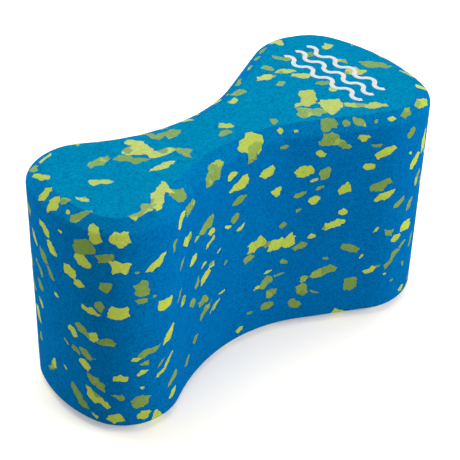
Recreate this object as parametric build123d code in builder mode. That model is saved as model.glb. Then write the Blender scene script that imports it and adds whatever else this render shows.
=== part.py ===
from build123d import *
import math
import os
import random

# Pull buoy of chip foam, standing on one of its two flat profile faces.
# X runs through both lobes, Y across the waist, Z up along the thigh grooves.
# The origin is on the resting face, midway between the two waist grooves.

# Driving dimensions, millimetres and degrees
waist_width = 46.4          # foam left between the two thigh grooves
body_height = 136.0         # distance between the two flat profile faces
rim_inset = 8.5             # bevel of both rims, measured on the flat face
rim_drop = 5.0              # bevel of both rims, measured on the wall

# Each half lobe: groove radius and the angle it spans, straight flank, corner, end
big_lobe = dict(groove=86.0, span=27.6, flank=43.5, corner=35.7, end=108.5)
small_lobe = dict(groove=104.7, span=30.5, flank=4.7, corner=31.1, end=74.7)

flat_chip_depth = 3.0       # how far chips reach into the foam under a flat face
wall_chip_depth = 3.5       # the same under the curved wall
rim_chip_depth = 6.0        # the same for chips that a bevel cuts open
chip_rise = 6.0             # length of a chip blank outside the foam, trimmed flush
chip_gap = 0.8              # least foam left around a scattered chip
smallest_chip = 1.0         # cubic millimetres, trimmings under this are dropped

corner_spacing = 3.0        # a torn outline has a corner more for each such length
longest_counted = 14.0      # up to this length
corner_wobble = 0.28        # how unevenly a torn outline's corners follow each other
corner_reaches = (0.74, 0.92, 1.0, 1.12)   # how far its corners lie from its middle

scattered_sizes = (9, 16, 10)        # least, greatest and usual length of a scattered chip
scattered_widths = (0.4, 0.85)       # its width as a share of its length
touching_share = 0.12                # share of the scattered chips that touch another chip
touching_overlap = 0.25              # by this share of its radius
rear_stretch = (217.0, 432.7)        # rear wall, from and to along the wall line
rear_rim_stretch = (120.0, 432.7)    # stretch of the upper bevel with scattered chips
wall_margin = 9.0                    # least distance of a scattered chip from the flat faces
rim_climb = (2, 8)                   # place of scattered chips across a bevel
flat_margin = 12.0                   # least distance of a scattered chip from the flat face's edge
flat_chip_places = (-94.1, 121.9, -45.2, 45.2)   # least and greatest x and y on a flat face
rear_chips = 36
upper_rim_chips = 6
lower_rim_chips = 12
bottom_chips = 18

mark_stroke = 2.6           # width of the printed water lines
mark_film = 0.2             # depth of the ink, pressed flush into the foam
mark_wave = 15.5            # length of one wave
mark_swing = 2.4            # height of a wave above its middle line
mark_place = (92.0, 2.0)    # middle of the mark on the upper flat face
mark_lines = (-9.0, 0.0, 9.0)   # offset of each line from the middle one
mark_waves = 4              # waves in each line

os.makedirs("parts", exist_ok=True)


def lobe_points(lobe, side):
    """Tangent points of the front half of a lobe; side is 1 towards +X, -1 towards -X."""
    span = math.radians(lobe["span"])
    groove_end = (
        lobe["groove"] * math.sin(span),
        waist_width / 2 + lobe["groove"] * (1 - math.cos(span)),
    )
    flank_end = (
        groove_end[0] + lobe["flank"] * math.cos(span),
        groove_end[1] + lobe["flank"] * math.sin(span),
    )
    corner_centre = (
        flank_end[0] + lobe["corner"] * math.sin(span),
        flank_end[1] - lobe["corner"] * math.cos(span),
    )
    reach = lobe["end"] - lobe["corner"]
    end_centre_x = corner_centre[0] - math.sqrt(reach**2 - corner_centre[1] ** 2)
    turn = math.atan2(corner_centre[1], corner_centre[0] - end_centre_x)
    corner_end = (
        end_centre_x + lobe["end"] * math.cos(turn),
        lobe["end"] * math.sin(turn),
    )
    tip = (end_centre_x + lobe["end"], 0.0)
    path = ((0.0, waist_width / 2), groove_end, flank_end, corner_end, tip)
    return [Vector(side * x, -y) for x, y in path]


def quarter(points, lobe, side, flip):
    """One quarter of the profile; flip -1 mirrors it to the rear half."""
    waist, groove_end, flank_end, corner_end, tip = [
        Vector(p.X, p.Y * flip) for p in points
    ]
    handed = side * flip
    RadiusArc(waist, groove_end, handed * lobe["groove"])
    Line(groove_end, flank_end)
    RadiusArc(flank_end, corner_end, -handed * lobe["corner"])
    RadiusArc(corner_end, tip, -handed * lobe["end"])


big_points = lobe_points(big_lobe, 1)
small_points = lobe_points(small_lobe, -1)

# Body without its chip pockets: the profile, then a bevel round both flat faces
with BuildPart() as plain_body:
    with BuildSketch() as profile:
        with BuildLine() as outline:
            quarter(big_points, big_lobe, 1, 1)
            quarter(big_points, big_lobe, 1, -1)
            quarter(small_points, small_lobe, -1, -1)
            quarter(small_points, small_lobe, -1, 1)
        make_face()
    extrude(amount=body_height)
    for flat in (plain_body.faces().sort_by(Axis.Z)[-1], plain_body.faces().sort_by(Axis.Z)[0]):
        chamfer(flat.edges(), length=rim_inset, length2=rim_drop, reference=flat)

# The wall starts at the middle of the front waist groove and runs towards +X
wall_line = outline.wire()
around = wall_line.length


def wall_frame(along):
    """Point, direction of travel and outward normal on the profile line."""
    distance = along % around
    place = wall_line.position_at(distance, position_mode=PositionMode.LENGTH)
    travel = wall_line.tangent_at(distance, position_mode=PositionMode.LENGTH)
    return place, travel, Vector(travel.Y, -travel.X)


def wall_plane(along, height):
    """Plane on the wall: local X along the wall, local Y up."""
    place, travel, outward = wall_frame(along)
    return Plane(place + Vector(0, 0, height), x_dir=travel, z_dir=outward)


def upper_rim_plane(along, climb):
    """Plane on the upper bevel, climb measured up the slope from the wall."""
    place, travel, outward = wall_frame(along)
    slope = (Vector(0, 0, rim_drop) - outward * rim_inset).normalized()
    normal = (outward * rim_drop + Vector(0, 0, rim_inset)).normalized()
    start = place + Vector(0, 0, body_height - rim_drop)
    return Plane(start + slope * climb, x_dir=travel, z_dir=normal)


def lower_rim_plane(along, climb):
    """Plane on the lower bevel, climb measured down the slope from the wall."""
    place, travel, outward = wall_frame(along)
    slope = (Vector(0, 0, -rim_drop) - outward * rim_inset).normalized()
    normal = (outward * rim_drop - Vector(0, 0, rim_inset)).normalized()
    start = place + Vector(0, 0, rim_drop)
    return Plane(start + slope * climb, x_dir=travel * -1, z_dir=normal)


def top_plane(x, y):
    return Plane((x, y, body_height), x_dir=(1, 0, 0), z_dir=(0, 0, 1))


def bottom_plane(x, y):
    return Plane((x, y, 0), x_dir=(1, 0, 0), z_dir=(0, 0, -1))


def torn_outline(length, width, turn, draw):
    """Angular outline of a torn chip, longest along a line turned from local X."""
    count = 6 + round(min(length, longest_counted) / corner_spacing)
    phase = draw.uniform(0, 2 * math.pi)
    points = []
    for index in range(count):
        wobble = draw.uniform(-corner_wobble, corner_wobble)
        angle = phase + 2 * math.pi * (index + wobble) / count
        reach = draw.choice(corner_reaches)
        flat = Vector(
            0.5 * length * reach * math.copysign(abs(math.cos(angle)) ** 0.9, math.cos(angle)),
            0.5 * width * reach * math.copysign(abs(math.sin(angle)) ** 0.8, math.sin(angle)),
        )
        points.append(flat.rotate(Axis.Z, turn))
    return points


class Chip:
    """One chip: where it lies, its outline in that plane, and how deep it goes."""

    def __init__(self, plane, points, depth):
        self.plane = plane
        self.points = points
        self.depth = depth
        middle = sum(points, Vector()) * (1 / len(points))
        self.middle = plane.from_local_coords(middle)
        self.radius = max((point - middle).length for point in points)

    def near(self, other, gap):
        """True where the two chips come within the gap of each other, or may do so."""
        apart = (self.middle - other.middle).length
        return apart < self.radius + other.radius + gap


def chip_blank(chip):
    """Prism on the chip's outline, from its depth in the foam to well outside it."""
    with BuildPart() as blank:
        with BuildSketch(chip.plane.offset(-chip.depth)):
            with BuildLine():
                Polyline(*[(point.X, point.Y) for point in chip.points], close=True)
            make_face()
        extrude(amount=chip.depth + chip_rise)
    return blank.part


# Chips on the front wall: along the wall, height, length, width, turn
front_lime = [
    (-78.5, 110, 13, 5.5, 24), (-73, 81.5, 10.5, 6.5, -18), (-70, 59.5, 11, 5.5, 52),
    (-73.5, 40, 17, 2.8, 44), (-56, 123, 10.5, 5.5, 30), (-47.5, 104.5, 11, 6.5, 8),
    (-24, 87.5, 10, 3.2, 25), (-27.7, 66.4, 10.5, 6, 43), (-53, 68.6, 9.5, 6, 12),
    (-19, 41, 10, 3, 35), (0, 113.8, 16, 7, 11), (16.5, 113.8, 10, 7, 11),
    (39.5, 109.5, 12, 7.5, 0), (46, 89, 10, 3.6, 5), (12.5, 68, 13.5, 8.5, 25),
    (25.5, 63.3, 12, 7.5, 30), (33, 64.5, 9.5, 8, 70), (85.5, 115.5, 13.5, 5.8, 21),
    (87, 86, 13, 5.8, 20), (58.5, 71, 13.5, 6, 10),
]
front_olive = [
    (-59, 77, 10, 2.6, 42), (-29.5, 51.5, 11, 5.5, -2), (-27.5, 43.5, 14.5, 4.2, 31),
    (-67.5, 26, 11.5, 4.8, 52), (-45.5, 123.5, 11, 8, 18), (-27, 101, 14, 7, 5),
    (-1, 103, 10.5, 4.2, 15), (39.8, 59, 10, 5, 20), (20, 37.7, 9.5, 6.5, 32),
    (38.5, 17.5, 9.4, 6.6, 0), (42.5, 26.8, 9.5, 8, -10), (61, 124, 9.5, 4.6, -35),
    (84, 93.5, 13.5, 6, 18), (98.5, 78.5, 9.5, 5, 43), (107, 73, 11, 4.6, 53),
    (70.5, 52, 13.5, 6, -25), (56, 38.5, 20, 5.5, 18), (72, 26, 11, 10.5, -10),
    (96.5, 38.5, 17, 4.6, 43),
]

# Chips on the end of the small lobe
small_end_lime = [
    (-98, 112, 12, 9, -11), (-117.5, 112, 11, 7.5, -26), (-126, 102, 10.5, 8, -1),
    (-99.5, 83, 12, 9.5, 14), (-114, 81.5, 11, 4.8, -21), (-112.8, 64.5, 9.5, 6.4, 4),
    (-119, 43, 10, 5.8, -41), (-145.5, 28, 10.5, 6, 64), (-113, 22.5, 16, 7, -31),
    (-99, 39, 10.5, 5.4, -4), (-102, 10, 10.5, 6.5, 14), (-139.5, 109, 10.5, 7, -36),
    (-144.5, 118, 9.5, 5.4, -41), (-158, 105, 12, 4, -48), (-161, 52, 13, 4.5, -51),
    (-168, 84, 10, 5, -60), (-182, 112, 11, 5.5, 60), (-196, 92, 12, 6, -30),
]
small_end_olive = [
    (-104.8, 117.8, 10, 6.6, 14), (-87, 97, 10.5, 8.4, -68), (-87, 89.5, 10, 2.8, 0),
    (-120, 67, 9.5, 5.2, -36), (-105.3, 63.5, 10.5, 5.8, 6), (-117.5, 50.5, 11.5, 4.8, -28),
    (-112.5, 34, 12, 6.8, -36), (-89.5, 21.5, 10.8, 9, 7), (-124.5, 17.5, 17, 7, -48),
    (-84, 54.5, 14.5, 5.5, 17), (-116.5, 121, 14, 9.5, 26), (-148, 99.5, 10.5, 4.8, -46),
    (-142, 92, 9.5, 3.2, -46), (-154, 88, 11, 3.4, -46), (-166, 68, 11, 5, -46),
    (-178, 50, 12, 6, -40), (-200, 46, 10, 7, 15),
]

# Chips on the end of the big lobe
big_end_lime = [
    (107.5, 103, 11.5, 5, 43), (106.5, 58, 10, 8.5, 8), (117, 111, 15, 6, 80), (122, 84, 10, 5, 60),
    (140, 100, 11, 7, 30), (163, 41, 12, 7, 15), (176, 90, 10, 8, 0), (184, 60, 13, 6, 35),
    (201, 35, 10, 6, 50), (207, 80, 12, 5.5, -35),
]
big_end_olive = [
    (113, 88, 11, 4.6, 65), (115, 44, 12, 4.4, 62), (132, 76, 12, 6, 55), (152, 52, 13, 6, 25),
    (166, 76, 10, 6, 70), (170, 107, 12, 6, -30), (190, 43, 11, 7, -20), (210, 115, 10, 6, 10),
    (213, 24, 11, 7, 0), (129, 21, 10, 6, 40),
]

# Chips cut open by the upper bevel: along the wall, climb up the slope, then as above
upper_rim_lime = [
    (8.5, 4.6, 15, 12, 30), (119, 5, 15, 5, -12), (-150.5, 5.5, 8, 6, 80),
    (-140.5, 5, 10, 6.4, -70), (-165, 8.6, 12.5, 5, 35), (-97, -0.4, 10.5, 6, -10),
    (-111, 1.5, 8.5, 6.2, -45), (-188, 8.5, 13, 3.6, -5),
]
upper_rim_olive = [
    (-50.5, 4.4, 12, 8.5, -35), (-20.5, -0.6, 17.5, 9, 12), (6.5, -3.2, 8, 6, 0),
    (53, 6.3, 11.5, 7.5, 0), (70, 6, 8.5, 4.8, -35), (52.5, -2.6, 13, 8, -18),
    (101, 6, 9.5, 4, 30), (-122, 6, 12.5, 5, 45), (-178, 4, 10, 5, 30), (202, 6.5, 10, 5.5, 10),
    (276, 6, 9, 4, 5), (315, 6, 11, 4.6, 15),
]

# Chips on the upper flat face: x, y, length, width, turn
top_lime = [
    (79.4, -11.4, 6.6, 6, 0), (101.4, -4.3, 14, 9, -35), (104.7, 8.5, 10, 4, -50),
    (110.5, 25.8, 7.6, 6.6, 0), (71.4, 20.5, 11.5, 4.6, -40), (75.6, 10.9, 13, 4.6, -50),
    (57.8, 22.7, 13, 5.2, -20), (27, 14.6, 6.6, 5.2, 0), (8, -2, 9.8, 5.6, -40),
    (-42.5, -10, 17, 4.6, -2), (-75, -1.3, 13.5, 4.8, -35), (-90.3, -7.9, 9.5, 4, -62),
]
top_olive = [
    (78.5, -2.4, 9, 6, -35), (116.5, -6.6, 20, 5.6, -52), (95.2, 25.8, 9, 5, -10),
    (80.6, 32, 13, 4.2, -50), (66.2, 29, 9, 5, -45), (35.8, 19.4, 11, 5, -20),
    (2.3, -6.6, 7, 5, 10), (29.8, -14.8, 6.6, 5, 40), (-64.2, 13.6, 14.5, 5, 0),
]

# Large torn chips on the upper flat face, as corner points in x and y
top_lime_torn = [
    [(62.5, -0.8), (67.5, -1.7), (70, -5), (65.2, -10.7), (61.9, -16.3), (56.2, -15.2),
     (48.2, -11.2), (50.5, -9.5), (55.4, -9.8), (57.5, -6.8), (59.3, -3.5)],
    [(61.7, -17.3), (65.9, -15.9), (69.8, -18), (73.9, -20.5), (72.1, -24.6), (68.6, -27.6),
     (63.2, -29.2), (59.1, -29.5), (59.4, -25), (59.6, -19.9)],
    [(72.0, -25.3), (76.7, -28.7), (82.3, -34.5), (84.6, -33.5), (90.4, -41.8),
     (89.5, -43.4), (79.5, -38.2), (76.4, -34.5), (70.2, -27.6)],
    [(-41.4, 21), (-34.6, 14.1), (-36.6, 10.9), (-37.4, 6.7), (-36.5, 3.8), (-30.2, 1.2),
     (-26.8, -2.1), (-28.4, -3), (-37.7, -3.3), (-42.8, -0.3), (-42.5, 2.9), (-43.6, 5),
     (-49.2, 8.9), (-50.5, 13.2), (-48, 15.5), (-43.9, 15.3), (-43.5, 19.1)],
    [(-51.6, -20.2), (-50, -21.9), (-52.4, -27.4), (-52, -30.3), (-55.5, -29.9),
     (-57.3, -28), (-61.9, -34.5), (-67.1, -37), (-69, -36.8), (-69.9, -34.9),
     (-75.7, -37), (-80.6, -36.6), (-82.5, -33.3), (-76, -33.1), (-71.1, -29.5),
     (-67.8, -32.1), (-64.5, -27), (-59, -24.1), (-54.6, -23.1)],
]
top_olive_torn = [
    [(43.5, -16.9), (48.2, -15.4), (48.7, -12.1), (55.4, -18.2), (61.4, -24.2),
     (59.8, -27.3), (52.5, -25.4), (45, -22.3)],
    [(-58.7, 10.5), (-52, 11.5), (-49.3, 8.7), (-49.7, 4.5), (-45.9, 2.2), (-42.8, -0.9),
     (-51.3, -0.2), (-52.7, 4), (-57.1, 7.7)],
    [(-26.9, -1.4), (-21.9, -8.3), (-24.8, -10), (-25.4, -14.2), (-27.7, -10.9),
     (-28.2, -5.2)],
    [(-30.3, 19.9), (-26.1, 15.4), (-18, 14.3), (-13.4, 10.1), (-18.7, 6.4), (-23.8, 7.9),
     (-24.6, 11.9), (-27.5, 10.5), (-31.2, 14.5)],
]

draw = random.Random(21)
groups = {}


def placed(plane_at, rows, depth):
    """Chips from rows of place, length, width and turn on the given kind of plane."""
    return [
        Chip(plane_at(first, second), torn_outline(length, width, turn, draw), depth)
        for first, second, length, width, turn in rows
    ]


def torn(rows):
    """Chips on the upper flat face from corner points given there."""
    plane = top_plane(0, 0)
    return [
        Chip(plane, [Vector(x, y) for x, y in corners], flat_chip_depth) for corners in rows
    ]


groups["lime_chips_top"] = torn(top_lime_torn) + placed(top_plane, top_lime, flat_chip_depth)
groups["olive_chips_top"] = torn(top_olive_torn) + placed(top_plane, top_olive, flat_chip_depth)
groups["lime_chips_upper_rim"] = placed(upper_rim_plane, upper_rim_lime, rim_chip_depth)
groups["olive_chips_upper_rim"] = placed(upper_rim_plane, upper_rim_olive, rim_chip_depth)
groups["lime_chips_front"] = placed(wall_plane, front_lime, wall_chip_depth)
groups["olive_chips_front"] = placed(wall_plane, front_olive, wall_chip_depth)
groups["lime_chips_small_end"] = placed(wall_plane, small_end_lime, wall_chip_depth)
groups["olive_chips_small_end"] = placed(wall_plane, small_end_olive, wall_chip_depth)
groups["lime_chips_big_end"] = placed(wall_plane, big_end_lime, wall_chip_depth)
groups["olive_chips_big_end"] = placed(wall_plane, big_end_olive, wall_chip_depth)


def scatter(names, count, spot, depth):
    """Scatter chips of both tones over a surface, clear of most chips placed before."""
    for name in names:
        groups.setdefault(name, [])
    made = 0
    while made < count:
        length = draw.triangular(*scattered_sizes)
        width = length * draw.uniform(*scattered_widths)
        outline_points = torn_outline(length, width, draw.uniform(0, 180), draw)
        chip = Chip(spot(), outline_points, depth)
        touching = draw.random() < touching_share
        gap = -touching_overlap * chip.radius if touching else chip_gap
        if any(chip.near(other, gap) for group in groups.values() for other in group):
            continue
        groups[draw.choice(names)].append(chip)
        made += 1


def rear_spot():
    height = draw.uniform(wall_margin, body_height - wall_margin)
    return wall_plane(draw.uniform(*rear_stretch), height)


def upper_rim_spot():
    return upper_rim_plane(draw.uniform(*rear_rim_stretch), draw.uniform(*rim_climb))


def lower_rim_spot():
    return lower_rim_plane(draw.uniform(0, around), draw.uniform(*rim_climb))


def bottom_spot():
    """A place on the lower flat face, drawn again until it lies inside the face."""
    face = plain_body.faces().sort_by(Axis.Z)[0]
    least_x, greatest_x, least_y, greatest_y = flat_chip_places
    while True:
        x = draw.uniform(least_x, greatest_x)
        y = draw.uniform(least_y, greatest_y)
        reach = (-flat_margin, flat_margin)
        if all(face.is_inside((x + across, y + along, 0)) for across in reach for along in reach):
            return bottom_plane(x, y)


scatter(("lime_chips_rear", "olive_chips_rear"), rear_chips, rear_spot, wall_chip_depth)
scatter(
    ("lime_chips_upper_rim", "olive_chips_upper_rim"), upper_rim_chips, upper_rim_spot, rim_chip_depth
)
scatter(
    ("lime_chips_lower_rim", "olive_chips_lower_rim"), lower_rim_chips, lower_rim_spot, rim_chip_depth
)
scatter(("lime_chips_bottom", "olive_chips_bottom"), bottom_chips, bottom_spot, flat_chip_depth)


def water_line(offset):
    """Centre line of one printed wave line, made of arcs bending to either side."""
    x = mark_place[0] + offset
    step = mark_wave / 2
    start = mark_place[1] - mark_waves * step
    for index in range(2 * mark_waves):
        y = start + index * step
        side = 1 if index % 2 == 0 else -1
        SagittaArc((x, y), (x, y + step), side * mark_swing)


# Printed mark on the upper flat face: water lines running across the big lobe
with BuildPart() as printed_mark:
    with BuildSketch(Plane.XY.offset(body_height - mark_film)):
        for offset in mark_lines:
            with BuildLine() as wave:
                water_line(offset)
            trace(wave.line, line_width=mark_stroke)
    extrude(amount=mark_film)
printed_mark.part.label = "printed_mark"
export_step(printed_mark.part, "parts/printed_mark.step")

# Each group becomes one node: its blanks, less any chip made before that they
# would run into and less the mark, trimmed flush with the surface of the body
finished = []
for name, chips in groups.items():
    blanks = [chip_blank(chip) for chip in chips]
    blockers = [
        blank
        for other, blank in finished
        if any(chip.near(other, chip_gap) for chip in chips)
    ]
    with BuildPart() as chip_group:
        add(blanks)
        if blockers:
            add(blockers, mode=Mode.SUBTRACT)
        add(plain_body.part, mode=Mode.INTERSECT)
        if "top" in name:
            add(printed_mark.part, mode=Mode.SUBTRACT)
        kept = [solid for solid in chip_group.solids() if solid.volume > smallest_chip]
        add(kept, mode=Mode.REPLACE)
    chip_group.part.label = name
    export_step(chip_group.part, f"parts/{name}.step")
    finished += zip(chips, blanks)

# The foam itself, with a pocket for every chip and for the mark
with BuildPart() as foam_body:
    add(plain_body.part)
    add([blank for _, blank in finished], mode=Mode.SUBTRACT, clean=False)
    add(printed_mark.part, mode=Mode.SUBTRACT, clean=False)
foam_body.part.label = "foam_body"
export_step(foam_body.part, "parts/foam_body.step")
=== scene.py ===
import math
import random

import bmesh
import bpy
import numpy as np
from mathutils import Matrix, Vector, noise


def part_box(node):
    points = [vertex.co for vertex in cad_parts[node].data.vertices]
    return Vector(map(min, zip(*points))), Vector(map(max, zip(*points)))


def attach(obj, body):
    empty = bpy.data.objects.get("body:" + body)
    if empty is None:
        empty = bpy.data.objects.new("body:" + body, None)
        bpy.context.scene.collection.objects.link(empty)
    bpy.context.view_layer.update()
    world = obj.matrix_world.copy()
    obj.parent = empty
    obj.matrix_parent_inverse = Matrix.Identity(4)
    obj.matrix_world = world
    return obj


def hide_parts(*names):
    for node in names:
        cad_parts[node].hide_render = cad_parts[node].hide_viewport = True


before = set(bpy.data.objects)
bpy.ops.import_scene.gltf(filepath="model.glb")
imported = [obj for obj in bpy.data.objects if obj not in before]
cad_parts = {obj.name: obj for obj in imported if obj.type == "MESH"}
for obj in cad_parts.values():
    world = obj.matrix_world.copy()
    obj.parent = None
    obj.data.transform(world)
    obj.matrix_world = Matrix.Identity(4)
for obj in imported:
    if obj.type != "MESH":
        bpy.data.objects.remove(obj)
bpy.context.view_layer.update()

# Lengths are in millimetres, as in the CAD model, and become metres in new_piece().
# The materials, the lights and the camera are in metres.
MM = 0.001
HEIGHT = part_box("foam_body")[1].z / MM

# Profile: half the waist, and for each lobe the groove radius and the degrees it spans,
# the straight flank, the corner radius and the end radius
WAIST_HALF = 23.2
BIG_LOBE = dict(groove=86.0, span=27.6, flank=43.5, corner=35.7, end=108.5)
SMALL_LOBE = dict(groove=104.7, span=30.5, flank=4.7, corner=31.1, end=74.7)
WIDEST_HALF = 57            # half the width at the big lobe

# Section: the bevel round both flat faces and its two rounded edges
RIM_INSET = 8.5             # width of the bevel, seen from above
RIM_DROP = 5.0              # height of the bevel on the wall
SHOULDER_ROUND = 3.2        # rounding where the wall turns into the bevel
LIP_ROUND = 1.4             # rounding where the bevel turns into the flat face

# Mesh of the block
STEP = 1.6                  # spacing of points along the profile
WALL_STEP = 2.4             # spacing of rings up the wall
SHOULDER_STEPS = 8          # faces across the shoulder's rounding
LIP_STEPS = 4               # faces across the lip's rounding
FLAT_COLUMNS = 22           # faces across a flat face
SWELLS = ((34.0, 0.16), (9.0, 0.05))    # unevenness of the wall: size of a swell, and its height

# Chips
CUTTER_RISE = 6.0           # how far a chip's prism stands out of the foam before trimming
FLECK_DEPTH = 1.6           # how deep the small chips reach
FLAT_DEPTH = 3.0            # how deep the other chips reach under a flat face
WALL_DEPTH = 3.5            # under the wall
RIM_DEPTH = 6.0             # and under a bevel
CHIP_LEVELS = (-0.09, 0.04)     # how far a chip sinks below the foam or stands above it
SAME_POINT = 0.002          # points of a CAD mesh closer than this are one
SAME_PLANE = 0.05           # chip faces closer than this are parts of one plane
SMALLEST_CAP = 6.0          # area of the smallest inner face that is a chip's own
INWARD = -0.9               # cosine to the outward direction, below which a face looks inwards
PARALLEL = 0.9999           # cosine between two faces of one plane

# Torn edges of the chips
TEARS = ((4.4, 1.6), (1.7, 0.7), (0.9, 0.3))    # size of a tear, and how far it moves the edge
TEAR_STEP = 0.6             # spacing of points along a torn edge
FULL_TEAR_WIDTH = 5.0       # chips narrower than this have smaller tears
TEAR_ROOM = 1.2             # room kept around a chip's outline for its tears

# Flecks, the small chips
FLECK_CORNERS = 7
FLECK_WOBBLE = 0.3                  # how unevenly the corners follow each other
FLECK_REACHES = (0.72, 0.95, 1.1)   # how far the corners lie from the middle
FLECK_LENGTHS = (3, 9.5, 6)         # least, greatest and usual length of a scattered fleck
FLECK_SHARES = (0.35, 0.85)         # its width as a share of its length
CLEAR_SHARE = 0.9                   # how often a scattered fleck must be clear of other chips
EDGE_MARGIN = 8                     # least distance of scattered flecks from the wall's edges
LIP_MARGIN = 5                      # the same from the edge of a flat face
CLIMBS = (1, 9)                     # their places across a bevel

# Printed mark
INK_RISE = 0.08             # how far the ink stands above the foam
INK_SOFT = 0.05             # bevel along the ink's upper edges

SHARP_FROM = 32             # degrees, edges sharper than this are shaded sharp
SEED = 5
draw = random.Random(SEED)
noise.seed_set(SEED)


# ---------------------------------------------------------------- hourglass profile

def arc_points(centre, radius, first, last):
    """Points and outward normals on an arc, first and last in radians; a negative radius is a groove."""
    count = max(2, round(abs(radius * (last - first)) / STEP))
    turns = np.linspace(first, last, count + 1)[1:]
    spokes = np.c_[np.cos(turns), np.sin(turns)]
    return centre + abs(radius) * spokes, math.copysign(1, radius) * spokes


def half_lobe(lobe):
    """Rear edge of a lobe from the waist to its tip, for a lobe towards +X: points and normals."""
    span = math.radians(lobe["span"])
    waist = np.array((0.0, WAIST_HALF))
    groove_centre = waist + (0, lobe["groove"])
    along = np.array((math.cos(span), math.sin(span)))
    across = np.array((-along[1], along[0]))
    groove_end = groove_centre - across * lobe["groove"]
    flank_end = groove_end + along * lobe["flank"]
    corner_centre = flank_end - across * lobe["corner"]
    reach = lobe["end"] - lobe["corner"]
    end_centre = np.array((corner_centre[0] - math.sqrt(reach**2 - corner_centre[1] ** 2), 0.0))
    turn = math.atan2(corner_centre[1], corner_centre[0] - end_centre[0])
    groove = arc_points(groove_centre, -lobe["groove"], -math.pi / 2, span - math.pi / 2)
    count = max(1, round(lobe["flank"] / STEP))
    shares = np.linspace(0, 1, count + 1)[1:, None]
    flank = groove_end + shares * (flank_end - groove_end), np.tile(across, (count, 1))
    corner = arc_points(corner_centre, lobe["corner"], math.pi / 2 + span, turn)
    end = arc_points(end_centre, lobe["end"], turn, 0.0)
    points = np.vstack([waist[None], groove[0], flank[0], corner[0], end[0]])
    normals = np.vstack([[(0.0, 1.0)], groove[1], flank[1], corner[1], end[1]])
    return points, normals


def rear_edge():
    """The rear half of the profile from the small lobe's tip to the big lobe's tip."""
    big_points, big_normals = half_lobe(BIG_LOBE)
    small_points, small_normals = half_lobe(SMALL_LOBE)
    flip = np.array((-1, 1))
    points = np.vstack([small_points[:0:-1] * flip, big_points])
    normals = np.vstack([small_normals[:0:-1] * flip, big_normals])
    return points, normals


REAR, REAR_NORMAL = rear_edge()
TIP_COUNT = len(REAR)
# The closed loop starts at the small tip, runs along the front to the big tip and back at the rear
LOOP = np.vstack([REAR * (1, -1), REAR[-2:0:-1]])
LOOP_NORMAL = np.vstack([REAR_NORMAL * (1, -1), REAR_NORMAL[-2:0:-1]])
WAIST_INDEX = int(np.argmin(np.abs(REAR[:, 0])))
CLOSED_LOOP = np.vstack([LOOP, LOOP[:1]])
CLOSED_NORMAL = np.vstack([LOOP_NORMAL, LOOP_NORMAL[:1]])
# Distance of each point of the closed loop from the small tip; the last is the whole length
LOOP_LENGTH = np.r_[0, np.cumsum(np.hypot(*np.diff(CLOSED_LOOP, axis=0).T))]


def wall_frame(along):
    """Point and outward normal on the profile, along it from the front waist towards the big lobe."""
    distance = (LOOP_LENGTH[WAIST_INDEX] + along) % LOOP_LENGTH[-1]
    point = [np.interp(distance, LOOP_LENGTH, CLOSED_LOOP[:, k]) for k in (0, 1)]
    normal = [np.interp(distance, LOOP_LENGTH, CLOSED_NORMAL[:, k]) for k in (0, 1)]
    return Vector((*point, 0)), Vector((*normal, 0)).normalized()


# ---------------------------------------------------------------- foam block

def rounded_corner(before, corner, after, radius, count):
    """Points of the arc that rounds a corner of the section between its neighbours."""
    a = (Vector(before) - Vector(corner)).normalized()
    b = (Vector(after) - Vector(corner)).normalized()
    half = a.angle(b) / 2
    centre = Vector(corner) + (a + b).normalized() * radius / math.sin(half)
    start = Vector(corner) + a * radius / math.tan(half)
    finish = Vector(corner) + b * radius / math.tan(half)
    spin = (start - centre).angle_signed(finish - centre)
    points = []
    for index in range(count + 1):
        turned = (start - centre).copy()
        turned.rotate(Matrix.Rotation(-spin * index / count, 2))
        points.append(centre + turned)
    return points


def upper_section():
    """Inset and height of the section's points, from mid wall up to the flat face."""
    shoulder = (0, HEIGHT - RIM_DROP)
    lip = (RIM_INSET, HEIGHT)
    inner = (2 * RIM_INSET, HEIGHT)
    soft = rounded_corner((0, 0), shoulder, lip, SHOULDER_ROUND, SHOULDER_STEPS)
    crisp = rounded_corner(shoulder, lip, inner, LIP_ROUND, LIP_STEPS)
    wall_top = soft[0].y
    count = round((wall_top - HEIGHT / 2) / WALL_STEP)
    wall = [(0.0, z) for z in np.linspace(HEIGHT / 2, wall_top, count + 1)[:-1]]
    slope = [soft[-1].lerp(crisp[0], share) for share in (0.25, 0.5, 0.75)]
    return wall + [tuple(p) for p in soft + slope + crisp]


def strip(left, right):
    """Faces between two rows of points; a row of one point is a tip."""
    columns = range(FLAT_COLUMNS)
    if len(left) == 1:
        return [(left[0], right[k], right[k + 1]) for k in columns]
    if len(right) == 1:
        return [(left[k], right[0], left[k + 1]) for k in columns]
    return [(left[k], right[k], right[k + 1], left[k + 1]) for k in columns]


def flat_face(vertices, low):
    """Faces of a flat face, seen from above, inside the ring that starts at point low.

    Rows of points run from the front edge to the rear edge, and the new points join vertices.
    """
    rows = [[low]]
    for index in range(1, TIP_COUNT - 1):
        front = low + index
        rear = low + len(LOOP) - index
        a = Vector(vertices[front])
        b = Vector(vertices[rear])
        inner = [a.lerp(b, column / FLAT_COLUMNS) for column in range(1, FLAT_COLUMNS)]
        start = len(vertices)
        vertices += [tuple(p) for p in inner]
        rows.append([front, *range(start, start + len(inner)), rear])
    rows.append([low + TIP_COUNT - 1])
    return [face for left, right in zip(rows, rows[1:]) for face in strip(left, right)]


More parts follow.
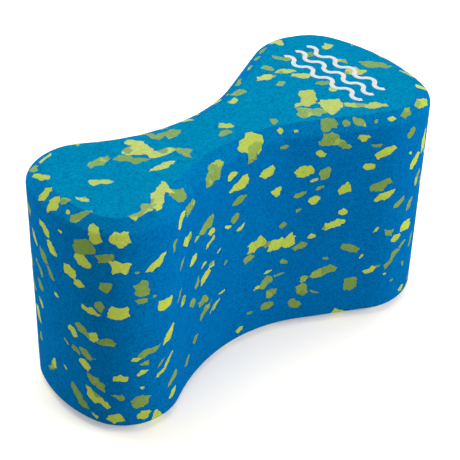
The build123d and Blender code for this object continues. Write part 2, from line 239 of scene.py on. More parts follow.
def foam_block():
    """Closed mesh of the whole block: rings up the wall and over both rims, then the flat faces."""
    upper = upper_section()
    section = [(inset, HEIGHT - z) for inset, z in upper[:0:-1]] + upper
    ring = len(LOOP)
    vertices = []
    faces = []
    for inset, z in section:
        vertices += [(x, y, z) for x, y in LOOP - LOOP_NORMAL * inset]
    for low in range(0, (len(section) - 1) * ring, ring):
        for index in range(ring):
            after = (index + 1) % ring
            faces.append((low + index, low + after, low + ring + after, low + ring + index))
    faces += [face[::-1] for face in flat_face(vertices, 0)]
    faces += flat_face(vertices, (len(section) - 1) * ring)
    return vertices, faces


def add_object(name, data):
    """New object in the scene, for a mesh, a light or a camera."""
    added = bpy.data.objects.new(name, data)
    bpy.context.scene.collection.objects.link(added)
    return added


def new_piece(name, vertices, faces):
    """Object made from points in millimetres."""
    mesh = bpy.data.meshes.new(name)
    mesh.from_pydata([tuple(c * MM for c in v) for v in vertices], [], faces)
    mesh.validate()
    mesh.update()
    return add_object(name, mesh)


def uneven(piece):
    """Gives the foam the slight waviness of a moulded block; its flat faces stay flat."""
    mesh = piece.data
    places = np.empty(len(mesh.vertices) * 3)
    mesh.vertices.foreach_get("co", places)
    places = places.reshape(-1, 3)
    normals = np.array([tuple(corner.vector) for corner in mesh.vertex_normals])
    for index, place in enumerate(places):
        if abs(normals[index][2]) > 0.99:
            continue
        spot = Vector(place) / MM
        swell = sum(height * noise.noise(spot / size) for size, height in SWELLS)
        place += normals[index] * swell * MM
    mesh.vertices.foreach_set("co", places.ravel())
    mesh.update()


body = new_piece("foam_block", *foam_block())
uneven(body)


# ---------------------------------------------------------------- flecks at listed places

# Small chips on the wall: along the wall, height, length, width, turn in degrees
WALL_LIME = [
    (-67.5, 16.5, 7, 5, 47), (-40, 87.3, 9, 6, 13), (-36.5, 98.4, 5.5, 3.4, 13),
    (-22.5, 94, 7, 4, -22), (-16, 77.5, 5, 1.8, 28), (-22, 72, 5, 4, 13), (-30, 76, 6, 2.8, 18),
    (-13, 47, 5.2, 2.4, 18), (-9, 89.3, 6.5, 2.4, -25), (0.5, 84, 7, 3, 28),
    (-6.5, 121.2, 7.5, 4.8, -17), (24, 99.2, 6.5, 5.6, 40), (45.5, 102.5, 4.6, 2.4, 10),
    (46, 65, 5.8, 3.2, 10), (20.5, 45.7, 6, 1.9, 15), (14, 36.2, 7, 3.6, 11), (43, 35, 7.5, 4, 68),
    (2.5, 10.6, 6, 3.4, 3), (48.5, 119.4, 7, 4.4, -15), (71.5, 126.5, 8.5, 5, -5),
    (77, 107.5, 8.5, 4, -7), (64, 94.8, 8.5, 7.6, 30), (64, 78.5, 5.5, 4.2, -40),
    (98.5, 53.5, 8, 5, 8), (84.5, 63, 4, 2.4, 58), (77, 45.5, 3.6, 2, 48),
    (82.5, 33.5, 7.5, 5.4, 18), (102.5, 110, 3.2, 2.6, -12), (93, 29, 2.6, 2, -12),
    (-121, 96.5, 6.8, 5, 4), (-127, 62.5, 8.5, 5.2, -36), (-132, 52.5, 7, 2, -46),
    (-88, 41.5, 8.5, 4, 22), (-87, 12, 8.5, 7, 7), (-114.5, 9.5, 5, 3, -21), (-91, 52, 6, 3, -8),
    (-88, 31, 3.2, 2, -18), (-137.5, 80, 5, 2.8, -36), (-131, 123.5, 3, 2.2, 14),
    (-134, 33, 4.2, 1.8, -46), (-156, 63, 7, 4, -36), (-171, 33, 9, 6, -50), (-187, 66, 8, 6, 20),
    (-193, 24, 9, 5, 10), (110, 10.5, 6.5, 3.6, -2), (128, 57, 9, 5, 50), (150, 70, 9, 6, -40),
    (158, 112, 8, 5, 20), (192, 108, 9, 6, -20), (214, 56, 7, 5, 0), (147, 27, 8, 6, -20),
    (179, 22, 9, 5, 30),
]
WALL_OLIVE = [
    (-64.5, 112.8, 8.5, 5, 42), (-80, 90, 2.8, 2.4, -18), (-55, 95, 7.5, 4.6, 42),
    (-36, 68.4, 7, 4, 58), (-40.7, 58, 8.5, 6, 43), (-10, 66.6, 3.6, 2.6, 43), (-4, 92.8, 8, 6, 23),
    (37.5, 94.3, 8.5, 4.4, 35), (48.5, 97, 7, 2.8, 25), (37.5, 84, 4.4, 2.6, 5),
    (29, 76, 6, 4.2, -20), (7.5, 60.5, 9, 6, 33), (19.3, 65, 7, 5, -10), (30.5, 49.5, 8, 3, -42),
    (28, 41, 8.5, 1.9, 8), (23.5, 28.6, 8.8, 6.8, 25), (20.5, 20.5, 8.4, 6.6, -10),
    (9.5, 19.7, 5.6, 2.8, -2), (80, 120.5, 7.5, 3, 3), (51.5, 106.5, 8.6, 7.4, 50),
    (93.5, 59.5, 7.2, 5.4, -2), (104.5, 46, 8, 3.5, 38), (55.5, 47, 4.2, 3, -10),
    (27, 127.5, 5.2, 3, 10), (101, 124, 7.5, 6, 48), (-76.5, 43, 8, 2, 42),
    (87.8, 36.2, 4.5, 1.8, 0), (50, 24, 6.5, 1.8, -35), (99, 22, 2.8, 2, 18), (-48, 22, 8.5, 4, 43),
    (-37, 30, 9, 4, 38), (-104.5, 99.5, 8, 6.4, 14), (-89, 108, 3, 1.8, -18),
    (-109, 87, 8, 6.4, 84), (-125, 51, 8.5, 4.2, -21), (-148.7, 23, 6.5, 4.4, 54),
    (-100.5, 26.5, 9, 4, -14), (-86.5, 48, 6.4, 4.6, -18), (-153.5, 75.5, 8, 5.2, -46),
    (-164, 118, 9, 5, -36), (-159, 36, 8, 4.5, 74), (-176, 98, 8, 6, 0), (-184, 80, 9, 5, 45),
    (-201, 112, 8, 6, -20), (126, 104, 8, 5, 40), (136, 44, 9, 6, 20), (148, 88, 9, 7, -15),
    (188, 78, 8, 6, 10), (199, 94, 9, 6, 45), (163, 18, 8, 5, -30),
]
# Small chips on the upper bevel: along the wall, climb up the slope, then as above
RIM_LIME = [
    (27, 6.5, 4.2, 3.6, 0), (35, 5, 3.8, 2.2, -20), (89, 5, 5.4, 3.2, 0), (-130, 5, 3.4, 2.2, 0),
]
RIM_OLIVE = [
    (63, 6, 5.8, 4.4, 10), (79.5, 5, 3.6, 2.2, 60), (-136, 9, 6, 4, 50), (286, 6, 6, 4, 0),
]
# Small chips on the upper flat face: x, y, length, width, turn
TOP_OLIVE = [
    (60.3, 11.9, 5.8, 5.2, 0),
]


# ---------------------------------------------------------------- chips

def surface_normal(node_name, middle):
    """Outward normal of the plane that a group's chips were laid out on, at a chip's middle."""
    if node_name.endswith("top"):
        return Vector((0, 0, 1))
    if node_name.endswith("bottom"):
        return Vector((0, 0, -1))
    gaps = LOOP - np.array(middle[:2])
    wall = Vector((*LOOP_NORMAL[int(np.argmin((gaps**2).sum(1)))], 0))
    if node_name.endswith("upper_rim"):
        return (wall * RIM_DROP + Vector((0, 0, RIM_INSET))).normalized()
    if node_name.endswith("lower_rim"):
        return (wall * RIM_DROP - Vector((0, 0, RIM_INSET))).normalized()
    return wall.normalized()


def face_islands(shape):
    """Groups of connected faces of a bmesh, in the order of their first faces."""
    seen = set()
    for first in shape.faces:
        if first in seen:
            continue
        seen.add(first)
        stack = [first]
        island = []
        while stack:
            face = stack.pop()
            island.append(face)
            for edge in face.edges:
                for neighbour in edge.link_faces:
                    if neighbour not in seen:
                        seen.add(neighbour)
                        stack.append(neighbour)
        yield island


def border_loop(faces):
    """Longest closed border of a patch of faces, as points in order."""
    patch = set(faces)
    follow = {}
    for face in faces:
        for corner in face.loops:
            inside = [f for f in corner.edge.link_faces if f in patch]
            if len(inside) == 1:
                follow[corner.vert] = corner.link_loop_next.vert
    loops = []
    while follow:
        start = next(iter(follow))
        loop = [start]
        step = follow.pop(start)
        while step is not start and step in follow:
            loop.append(step)
            step = follow.pop(step)
        loops.append([vert.co / MM for vert in loop])
    return max(loops, key=len)


def inner_caps(island, outward):
    """Faces of an island that look into the foam, sorted by the plane that they lie on."""
    caps = []
    for face in island:
        if face.normal.dot(outward) > INWARD:
            continue
        offset = face.calc_center_median().dot(face.normal)
        for cap in caps:
            if cap[0].dot(face.normal) > PARALLEL and abs(cap[1] - offset) < SAME_PLANE * MM:
                cap[2].append(face)
                break
        else:
            caps.append((face.normal.copy(), offset, [face]))
    return caps


def chips_of(node_name):
    """Outline of every chip of a CAD node on its inner flat face, with its outward normal."""
    shape = bmesh.new()
    shape.from_mesh(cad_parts[node_name].data)
    bmesh.ops.remove_doubles(shape, verts=shape.verts, dist=SAME_POINT * MM)
    chips = []
    for island in face_islands(shape):
        middle = sum((face.calc_center_median() for face in island), Vector()) / len(island) / MM
        for normal, _, cap in inner_caps(island, surface_normal(node_name, middle)):
            if sum(face.calc_area() for face in cap) > SMALLEST_CAP * MM**2:
                chips.append((border_loop(cap), -normal))
    shape.free()
    return chips


def torn_border(points, normal):
    """The outline anticlockwise, with more points, which are moved in its plane so it looks torn."""
    turned = sum((a.cross(b) for a, b in zip(points, points[1:] + points[:1])), Vector())
    if turned.dot(normal) < 0:
        points = points[::-1]
    border = sum((a - b).length for a, b in zip(points, points[1:] + points[:1]))
    width = 2 * abs(turned.dot(normal)) / border
    share = min(1.0, width / FULL_TEAR_WIDTH)
    edge = []
    for here, after in zip(points, points[1:] + points[:1]):
        pieces = max(1, round((after - here).length / TEAR_STEP))
        edge += [here.lerp(after, step / pieces) for step in range(pieces)]
    torn = []
    for point in edge:
        push = sum((noise.noise_vector(point / size) * reach for size, reach in TEARS), Vector())
        torn.append(point + (push - normal * push.dot(normal)) * share)
    return torn


def prism(points, normal, height):
    """Vertices and faces of a straight prism on a closed outline."""
    count = len(points)
    vertices = [tuple(p) for p in points] + [tuple(p + normal * height) for p in points]
    faces = [tuple(range(count))[::-1], tuple(range(count, 2 * count))]
    for index in range(count):
        after = (index + 1) % count
        faces.append((index, after, count + after, count + index))
    return vertices, faces


class Cutter:
    """A chip before it is trimmed: a prism that reaches from its inner face out of the foam."""

    def __init__(self, group, points, normal, depth):
        self.group = group
        self.normal = normal
        self.base = points[0]
        self.depth = depth
        self.vertices, self.faces = prism(torn_border(points, normal), normal, depth + CUTTER_RISE)
        middle = sum(points, Vector()) / len(points)
        self.radius = max((p - middle).length for p in points) + TEAR_ROOM
        self.middle = middle + normal * depth

    def apart(self, other):
        """True where the two prisms can't touch."""
        gap = (self.middle - other.middle).length
        return gap > self.radius + other.radius


def layers_of(cutters):
    """Cutters sorted into layers, with none touching another of its layer."""
    layers = []
    for cutter in cutters:
        for layer in layers:
            if all(cutter.apart(other) for other in layer):
                layer.append(cutter)
                break
        else:
            layers.append([cutter])
    return layers


def boolean(target, tool, operation):
    """New mesh of the target cut with the tool."""
    modifier = target.modifiers.new("cut", "BOOLEAN")
    modifier.solver = "MANIFOLD"
    modifier.operation = operation
    modifier.object = tool
    bpy.context.view_layer.update()
    shown = target.evaluated_get(bpy.context.evaluated_depsgraph_get())
    mesh = bpy.data.meshes.new_from_object(shown)
    target.modifiers.remove(modifier)
    return mesh


def depth_of(group):
    """How deep the chips of a group reach under the surface they were laid out on."""
    if group.endswith("rim"):
        return RIM_DEPTH
    if group.endswith(("top", "bottom")):
        return FLAT_DEPTH
    return WALL_DEPTH


def wall_place(along, height):
    """Point, local X, local Y and outward normal on the wall."""
    point, outward = wall_frame(along)
    travel = Vector((-outward.y, outward.x, 0))
    return point + Vector((0, 0, height)), travel, Vector((0, 0, 1)), outward


def upper_rim_place(along, climb):
    """The same on the upper bevel, climb measured up the slope from the wall."""
    point, outward = wall_frame(along)
    travel = Vector((-outward.y, outward.x, 0))
    slope = (Vector((0, 0, RIM_DROP)) - outward * RIM_INSET).normalized()
    point = point + Vector((0, 0, HEIGHT - RIM_DROP)) + slope * climb
    return point, travel, slope, travel.cross(slope)


def lower_rim_place(along, climb):
    """The same on the lower bevel, climb measured down the slope from the wall."""
    point, outward = wall_frame(along)
    travel = Vector((outward.y, -outward.x, 0))
    slope = (Vector((0, 0, -RIM_DROP)) - outward * RIM_INSET).normalized()
    point = point + Vector((0, 0, RIM_DROP)) + slope * climb
    return point, travel, slope, travel.cross(slope)


def top_place(x, y):
    """The same on the upper flat face."""
    return Vector((x, y, HEIGHT)), Vector((1, 0, 0)), Vector((0, 1, 0)), Vector((0, 0, 1))


def bottom_place(x, y):
    """The same on the lower flat face."""
    return Vector((x, y, 0)), Vector((1, 0, 0)), Vector((0, -1, 0)), Vector((0, 0, -1))


def fleck(group, place, length, width, turn):
    """Cutter of a small chip: an uneven rounded patch, longest along the turned local X."""
    point, across, up, normal = place
    spin = math.radians(turn)
    phase = draw.uniform(0, math.tau)
    points = []
    for index in range(FLECK_CORNERS):
        wobble = draw.uniform(-FLECK_WOBBLE, FLECK_WOBBLE)
        angle = phase + math.tau * (index + wobble) / FLECK_CORNERS
        reach = draw.choice(FLECK_REACHES)
        a = 0.5 * length * reach * math.cos(angle)
        b = 0.5 * width * reach * math.sin(angle)
        flat = across * (a * math.cos(spin) - b * math.sin(spin))
        flat += up * (a * math.sin(spin) + b * math.cos(spin))
        points.append(point + flat - normal * FLECK_DEPTH)
    return Cutter(group, points, normal, FLECK_DEPTH)


cutters = []
for name in sorted(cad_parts):
    if "chips" in name:
        depth = depth_of(name)
        cutters += [Cutter(name, points, normal, depth) for points, normal in chips_of(name)]
for group, place_at, rows in (
    ("lime_flecks", wall_place, WALL_LIME),
    ("olive_flecks", wall_place, WALL_OLIVE),
    ("lime_flecks", upper_rim_place, RIM_LIME),
    ("olive_flecks", upper_rim_place, RIM_OLIVE),
    ("olive_flecks", top_place, TOP_OLIVE),
):
    for first, second, length, width, turn in rows:
        cutters.append(fleck(group, place_at(first, second), length, width, turn))


def wall_spot(stretch):
    """A random spot on a stretch of the wall."""
    return wall_place(draw.uniform(*stretch), draw.uniform(EDGE_MARGIN, HEIGHT - EDGE_MARGIN))


def upper_rim_spot(stretch):
    """A random spot on a stretch of the upper bevel."""
    return upper_rim_place(draw.uniform(*stretch), draw.uniform(*CLIMBS))


def lower_rim_spot(stretch):
    """A random spot on a stretch of the lower bevel."""
    return lower_rim_place(draw.uniform(*stretch), draw.uniform(*CLIMBS))


def bottom_spot(stretch):
    """A random spot on the lower flat face, drawn again until it is well inside its edge."""
    while True:
        x = draw.uniform(*stretch)
        y = draw.uniform(-WIDEST_HALF, WIDEST_HALF)
        column = int(np.argmin(np.abs(REAR[:, 0] - x)))
        if abs(y) < REAR[column][1] - RIM_INSET - LIP_MARGIN:
            return bottom_place(x, y)


def scatter_flecks(count, spot_on, stretch):
    """Small chips of both tones over a surface, mostly clear of the chips made before."""
    made = 0
    while made < count:
        length = draw.triangular(*FLECK_LENGTHS)
        width = length * draw.uniform(*FLECK_SHARES)
        group = draw.choice(("lime_flecks", "olive_flecks"))
        candidate = fleck(group, spot_on(stretch), length, width, draw.uniform(0, 180))
        clear = all(candidate.apart(other) for other in cutters)
        if draw.random() < CLEAR_SHARE and not clear:
            continue
        cutters.append(candidate)
        made += 1


# How many, on which surface, and from and to where along the wall, or in X on the flat face
for count, spot_on, stretch in (
    (18, wall_spot, (105, 217)),
    (74, wall_spot, (217, 433)),
    (22, upper_rim_spot, (120, 433)),
    (30, lower_rim_spot, (0, LOOP_LENGTH[-1])),
    (50, bottom_spot, (REAR[0][0], REAR[-1][0])),
):
    scatter_flecks(count, spot_on, stretch)

# The foam gets a pocket for every chip, and each chip is what its prism shares with the foam
trimmed = []
cutters.sort(key=lambda cutter: -cutter.radius)
for layer in layers_of(cutters):
    vertices = []
    faces = []
    for cutter in layer:
        faces += [tuple(v + len(vertices) for v in face) for face in cutter.faces]
        vertices += cutter.vertices
    tool = new_piece("cutters", vertices, faces)
    kept = boolean(body, tool, "INTERSECT")
    body.data = boolean(body, tool, "DIFFERENCE")
    bpy.data.objects.remove(tool)
    trimmed.append((layer, kept))


def smooth(piece):
    """Smooth shading that keeps the sharp edges."""
    piece.data.shade_smooth()
    piece.data.set_sharp_from_angle(angle=math.radians(SHARP_FROM))


# Each chip has its own tone and its own level against the foam
for cutter in cutters:
    cutter.tone = draw.random()
    cutter.rise = draw.uniform(*CHIP_LEVELS)

# Chips come back from the layers in many islands, which are sorted into their groups
collected = {}
for layer, mesh in trimmed:
    shape = bmesh.new()
    shape.from_mesh(mesh)
    for island in face_islands(shape):
        corners = list(dict.fromkeys(vert for face in island for vert in face.verts))
        middle = sum((vert.co for vert in corners), Vector()) / len(corners) / MM
        owner = min(layer, key=lambda cutter: (cutter.middle - middle).length)
        vertices, faces, tones = collected.setdefault(owner.group, ([], [], []))
        numbers = {}
        for vert in corners:
            numbers[vert] = len(vertices)
            spot = vert.co / MM
            if (spot - owner.base).dot(owner.normal) > 0.5 * owner.depth:
                spot = spot + owner.normal * owner.rise
            vertices.append(tuple(spot))
            tones.append(owner.tone)
        faces += [tuple(numbers[vert] for vert in face.verts) for face in island]
    shape.free()

pieces = {}
for group, (vertices, faces, tones) in sorted(collected.items()):
    piece = new_piece("torn_" + group if "chips" in group else group, vertices, faces)
    tone = piece.data.attributes.new("tone", "FLOAT", "POINT")
    tone.data.foreach_set("value", tones)
    smooth(piece)
    pieces[group] = piece
smooth(body)


# ---------------------------------------------------------------- materials

def new_material(name):
    """New material, with its node tree and its Principled shader."""
    material = bpy.data.materials.new(name)
    material.use_nodes = True
    return material, material.node_tree, material.node_tree.nodes["Principled BSDF"]


def feed(tree, socket, value):
    """Links another node's output to the socket, or sets the socket to a plain value."""
    if isinstance(value, bpy.types.NodeSocket):
        tree.links.new(value, socket)
    else:
        socket.default_value = value


def add_node(tree, kind, inputs=(), **settings):
    """New node with its settings and the values or links of its inputs."""
    node = tree.nodes.new(kind)
    for key, value in settings.items():
        setattr(node, key, value)
    for key, value in dict(inputs).items():
        feed(tree, node.inputs[key], value)
    return node


def noise_at(tree, place, scale, detail=3.0, roughness=0.6):
    """Noise from 0 to 1; a larger scale is a finer noise."""
    inputs = {"Vector": place, "Scale": scale, "Detail": detail, "Roughness": roughness}
    return add_node(tree, "ShaderNodeTexNoise", inputs).outputs["Fac"]


def spread(tree, value, low, high, to_low=0.0, to_high=1.0):
    """Maps a value evenly from one range to another and holds it inside."""
    inputs = {"Value": value, "From Min": low, "From Max": high, "To Min": to_low, "To Max": to_high}
    return add_node(tree, "ShaderNodeMapRange", inputs).outputs["Result"]


def opaque(colour):
    """A colour of three values with the fourth that a colour socket needs, or a link as it is."""
    return (*colour, 1) if isinstance(colour, tuple) else colour


def blend_colour(tree, share, first, second, kind="MIX"):
    """The first colour with a share of the second; 0, 6 and 7 are the Mix node's colour inputs."""
    node = add_node(tree, "ShaderNodeMix", data_type="RGBA", blend_type=kind)
    feed(tree, node.inputs[0], share)
    feed(tree, node.inputs[6], opaque(first))
    feed(tree, node.inputs[7], opaque(second))
    return node.outputs[2]


def arithmetic(tree, kind, first, second):
    """Result of a sum, product or other operation on two values."""
    return add_node(tree, "ShaderNodeMath", {0: first, 1: second}, operation=kind).outputs[0]


def pores(tree, place, cell, size, share):
    """Sparse round pits: 1 in a pit, 0 outside; cell and size in metres, share of cells with one."""
    inputs = {"Vector": place, "Scale": 1 / cell, "Randomness": 1.0}
    dots = add_node(tree, "ShaderNodeTexVoronoi", inputs)
    inside = spread(tree, dots.outputs["Distance"], size / cell, 0.5 * size / cell)
    parts = add_node(tree, "ShaderNodeSeparateColor", {"Color": dots.outputs["Color"]})
    chosen = arithmetic(tree, "LESS_THAN", parts.outputs["Red"], share)
    return arithmetic(tree, "MULTIPLY", inside, chosen)


# Scales of the noises, per metre
CLOUD_SCALE = 60.0          # pale and dark clouds in the foam
PATCH_SCALE = 75.0          # patches of the other tone in a chip
CRUMB_SCALE = 380.0         # foam crumbs
GRAIN_SCALE = 1100.0        # finest grain of the foam
INK_SCALE = 900.0           # grain of the ink

SMALL_PORES = (0.0026, 0.00042, 0.5)    # cell and pore size in metres, share of cells with one
LARGE_PORES = (0.011, 0.0007, 0.35)
TONE_SPREAD = 0.5           # how far the darkest chips are blended towards their deep colour
FOAM_GLOSS = 0.001          # specular level, almost none, because the foam is dull
INK_GLOSS = 0.1


def mottled(tree, place, grain, crumb, base, deep, light):
    """Foam colour: clouds, fine grain and crumbs, in a deeper and a lighter tone of the base."""
    cloud = spread(tree, noise_at(tree, place, CLOUD_SCALE), 0.3, 0.7)
    colour = blend_colour(tree, cloud, deep, light)
    colour = blend_colour(tree, 0.3, base, colour)
    speck = blend_colour(tree, spread(tree, grain, 0.36, 0.64), deep, light)
    colour = blend_colour(tree, 0.7, colour, speck)
    colour = blend_colour(tree, spread(tree, crumb, 0.3, 0.47, 0.6, 0.0), colour, deep)
    return blend_colour(tree, spread(tree, crumb, 0.55, 0.72, 0.0, 0.5), colour, light)


def painted_sheen_share(tree):
    """How much painted sheen shows, by how far a face turns up: 0 on the wall, 0.3 on the bevels, 1 on
    the flat faces.
    """
    normal = add_node(tree, "ShaderNodeTexCoord").outputs["Normal"]
    upward = add_node(tree, "ShaderNodeSeparateXYZ", {"Vector": normal}).outputs["Z"]
    level = arithmetic(tree, "ABSOLUTE", upward, 0.0)
    on_rim = spread(tree, level, 0.4, 0.8, 0.0, 0.3)
    on_flat = spread(tree, level, 0.93, 0.99, 0.0, 0.7)
    return arithmetic(tree, "ADD", on_rim, on_flat)


def foam_material(name, base, deep, light, pore_colour, painted_sheen_tint, patch=None):
    """Closed-cell foam: mottled colour, fine grain, scattered pores, a dull surface, and painted sheen
    that makes the bevels and flat faces paler.

    A foam with a patch colour is a chip's: it has patches of that tone, and each chip its own depth.
    """
    material, tree, shader = new_material(name)
    place = add_node(tree, "ShaderNodeTexCoord").outputs["Object"]
    grain = noise_at(tree, place, GRAIN_SCALE, 4.0, 0.75)
    crumb = noise_at(tree, place, CRUMB_SCALE, 6.0, 0.72)
    colour = mottled(tree, place, grain, crumb, base, deep, light)
    if patch:
        covered = spread(tree, noise_at(tree, place, PATCH_SCALE, 3.0, 0.45), 0.62, 0.635)
        colour = blend_colour(tree, covered, colour, patch)
        tone = add_node(tree, "ShaderNodeAttribute", attribute_name="tone").outputs["Fac"]
        shade = spread(tree, tone, 0.0, 1.0, 0.0, TONE_SPREAD)
        colour = blend_colour(tree, shade, colour, deep)
    # painted sheen: faces that turn up are multiplied by a paler tint, which stands in for the light
    # that falls on them
    colour = blend_colour(tree, painted_sheen_share(tree), colour, painted_sheen_tint, "MULTIPLY")
    pits = arithmetic(
        tree, "MAXIMUM", pores(tree, place, *SMALL_PORES), pores(tree, place, *LARGE_PORES)
    )
    colour = blend_colour(tree, spread(tree, pits, 0.0, 1.0, 0.0, 0.8), colour, pore_colour)
    feed(tree, shader.inputs["Base Color"], colour)
    feed(tree, shader.inputs["Roughness"], spread(tree, crumb, 0.3, 0.7, 0.62, 0.78))
    shader.inputs["Specular IOR Level"].default_value = FOAM_GLOSS
    relief = arithmetic(tree, "ADD", grain, arithmetic(tree, "MULTIPLY", crumb, 0.8))
    relief = arithmetic(tree, "SUBTRACT", relief, arithmetic(tree, "MULTIPLY", pits, 2.5))
    bump = add_node(tree, "ShaderNodeBump", {"Strength": 0.35, "Distance": 0.00012, "Height": relief})
    feed(tree, shader.inputs["Normal"], bump.outputs["Normal"])
    return material


def linear(red, green, blue):
    """Linear colour from screen values out of 255, by the sRGB curve."""
    shares = [value / 255 for value in (red, green, blue)]
    return tuple(s / 12.92 if s < 0.0404 else ((s + 0.055) / 1.055) ** 2.4 for s in shares)


blue_foam = foam_material(
    "blue_foam",
    base=linear(0, 89, 145),
    deep=linear(0, 69, 121),
    light=linear(1, 107, 168),
    pore_colour=linear(0, 37, 73),
    # painted sheen: the bevels and flat faces are made paler and greener
    painted_sheen_tint=(1.0, 1.42, 1.0),
)
lime_foam = foam_material(
    "lime_foam",
    base=linear(160, 176, 66),
    deep=linear(138, 156, 50),
    light=linear(176, 190, 88),
    pore_colour=linear(96, 118, 40),
    # painted sheen: the bevels and flat faces are made bluer
    painted_sheen_tint=(0.97, 0.91, 1.85),
    patch=linear(112, 138, 68),
)
olive_foam = foam_material(
    "olive_foam",
    base=linear(112, 138, 68),
    deep=linear(88, 118, 56),
    light=linear(128, 152, 84),
    pore_colour=linear(60, 88, 44),
    # painted sheen: the bevels and flat faces are made paler and bluer
    painted_sheen_tint=(1.06, 1.04, 1.5),
    patch=linear(140, 158, 66),
)


def ink_material():
    """White screen-print ink: slightly uneven cover, with a fine grain."""
    material, tree, shader = new_material("white_ink")
    place = add_node(tree, "ShaderNodeTexCoord").outputs["Object"]
    grain = noise_at(tree, place, INK_SCALE)
    cover = spread(tree, grain, 0.3, 0.7)
    colour = blend_colour(tree, cover, linear(172, 174, 178), linear(186, 188, 192))
    feed(tree, shader.inputs["Base Color"], colour)
    feed(tree, shader.inputs["Roughness"], spread(tree, grain, 0.3, 0.7, 0.45, 0.6))
    shader.inputs["Specular IOR Level"].default_value = INK_GLOSS
    bump = add_node(tree, "ShaderNodeBump", {"Strength": 0.25, "Distance": 0.0001, "Height": grain})
    feed(tree, shader.inputs["Normal"], bump.outputs["Normal"])
    return material


def dress(piece, material):
    """Gives a piece its one material."""
    piece.data.materials.clear()
    piece.data.materials.append(material)


dress(body, blue_foam)
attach(body, "root")
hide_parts("foam_body")
for group, piece in pieces.items():
    lime = group.startswith("lime")
    dress(piece, lime_foam if lime else olive_foam)
    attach(piece, "root")
    if "chips" in group:
        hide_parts(group)


# ---------------------------------------------------------------- printed mark

def on_upper_rim(edge):
    """True for an edge between the ink's upper face, which is above the foam, and its side."""
    above = min(vert.co.z for vert in edge.verts) > HEIGHT * MM
    return above and len(edge.link_faces) == 2 and edge.calc_face_angle(0) > 1


def printed_mark():
    """The ink lines, a hair above the foam, with the CAD outline and softened edges."""
    shape = bmesh.new()
    shape.from_mesh(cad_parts["printed_mark"].data)
    bmesh.ops.remove_doubles(shape, verts=shape.verts, dist=SAME_POINT * MM)
    for vert in shape.verts:
        vert.co.z += INK_RISE * MM
    rims = [edge for edge in shape.edges if on_upper_rim(edge)]
    bmesh.ops.bevel(shape, geom=rims, offset=INK_SOFT * MM, segments=2, affect="EDGES", profile=0.5)
    mesh = bpy.data.meshes.new("ink_waves")
    shape.to_mesh(mesh)
    shape.free()
    piece = add_object("ink_waves", mesh)
    smooth(piece)
    return piece


mark = printed_mark()
dress(mark, ink_material())
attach(mark, "root")
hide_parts("printed_mark")


# ---------------------------------------------------------------- stage, light and camera

FLOOR_HALF = 6000                       # half the floor's side, in millimetres
FLOOR_COLOUR = (0.88, 0.82, 0.76, 1)
NEAR_FLOOR = 0.6                        # the floor's glow starts to rise at this distance
FAR_FLOOR = 1.6                         # and is full here
NEAR_GLOW = 0.217
FAR_GLOW = 1.0
WORLD_LIGHT = 0.044                     # strength of the surroundings as a light
WORLD_SHOWN = 1.0                       # and as they show behind the object


def floor_material():
    """Pale floor with a little glow of its own, which rises away from the object."""
    material, tree, shader = new_material("pale_floor")
    shader.inputs["Base Color"].default_value = FLOOR_COLOUR
    shader.inputs["Emission Color"].default_value = (1, 1, 1, 1)
    shader.inputs["Roughness"].default_value = 0.9
    shader.inputs["Specular IOR Level"].default_value = 0.1
    place = add_node(tree, "ShaderNodeTexCoord").outputs["Object"]
    reach = add_node(tree, "ShaderNodeVectorMath", {0: place}, operation="LENGTH").outputs["Value"]
    glow = spread(tree, reach, NEAR_FLOOR, FAR_FLOOR, NEAR_GLOW, FAR_GLOW)
    feed(tree, shader.inputs["Emission Strength"], glow)
    return material


floor_corners = [(FLOOR_HALF * x, FLOOR_HALF * y, 0) for x, y in ((-1, -1), (1, -1), (1, 1), (-1, 1))]
floor = new_piece("floor", floor_corners, [(0, 1, 2, 3)])
dress(floor, floor_material())


def area_light(name, place, aim, size, power, colour=(1, 1, 1)):
    """Rectangular soft light at a place, turned towards a point; the power is in watts."""
    light = bpy.data.lights.new(name, "AREA")
    light.shape = "RECTANGLE"
    light.size, light.size_y = size
    light.energy = power
    light.color = colour
    lamp = add_object(name, light)
    lamp.location = place
    lamp.rotation_euler = (Vector(aim) - Vector(place)).to_track_quat("-Z", "Y").to_euler()


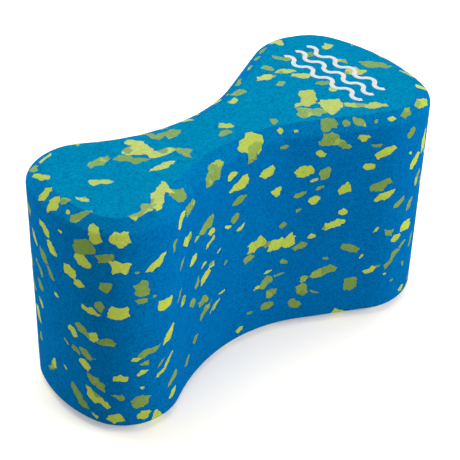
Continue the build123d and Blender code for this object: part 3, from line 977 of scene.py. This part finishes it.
def studio_world():
    """Pale surroundings that show white but add little light of their own."""
    world = bpy.data.worlds.new("studio")
    world.use_nodes = True
    tree = world.node_tree
    background = tree.nodes["Background"]
    background.inputs["Color"].default_value = (1, 1, 1, 1)
    ray = add_node(tree, "ShaderNodeLightPath").outputs["Is Camera Ray"]
    strength = spread(tree, ray, 0.0, 1.0, WORLD_LIGHT, WORLD_SHOWN)
    feed(tree, background.inputs["Strength"], strength)
    return world


bpy.context.scene.world = studio_world()

# Lights: name, place, aim, width and height, power, colour
warm = (1.0, 1.04, 0.94)
cool = (1.0, 0.99, 1.02)
area_light("overhead", (0.15, 0.35, 1.3), (0, 0, 0), (1.4, 1.4), 20.3, (1.0, 1.02, 0.98))
area_light("behind", (-0.2, 1.5, 0.9), (0, 0, 0.05), (1.4, 1.0), 11.9, warm)
area_light("near", (-0.5, -0.6, 1.4), (0, 0, 0), (1.2, 1.2), 4.2, warm)
area_light("right_front", (0.8, -1.36, 0.7), (0, 0, 0.05), (1.2, 1.0), 28.5, cool)
area_light("right", (1.5, 0.1, 0.6), (0, 0, 0.05), (1.0, 1.0), 8.6, (1.0, 1.06, 0.84))
area_light("left_rear", (-1.0, 1.5, 0.3), (0, 0, 0.05), (0.8, 0.8), 21.6)


# The camera looks down on the small lobe's corner; angles in degrees, sensor and lens in millimetres
TARGET = Vector((0.00952, -0.00496, 0.0681))
AZIMUTH = -42.53
ELEVATION = 36.51
ROLL = 1.62
DISTANCE = 0.7607
SENSOR = 36
LENS = 106.46


def studio_camera():
    """Camera at its distance from the target, turned towards it and rolled about its own axis."""
    azimuth, elevation, roll = (math.radians(angle) for angle in (AZIMUTH, ELEVATION, ROLL))
    back = Vector((
        math.sin(azimuth) * math.cos(elevation),
        -math.cos(azimuth) * math.cos(elevation),
        math.sin(elevation),
    ))
    level = Vector((math.cos(azimuth), math.sin(azimuth), 0))
    upright = back.cross(level)
    right = level * math.cos(roll) + upright * math.sin(roll)
    up = upright * math.cos(roll) - level * math.sin(roll)
    data = bpy.data.cameras.new("camera")
    data.sensor_width = SENSOR
    data.lens = LENS
    camera = add_object("camera", data)
    turned = Matrix((right, up, back)).transposed().to_4x4()
    camera.matrix_world = Matrix.Translation(TARGET + back * DISTANCE) @ turned
    return camera


bpy.context.scene.camera = studio_camera()
bpy.context.scene.view_settings.view_transform = "Standard"
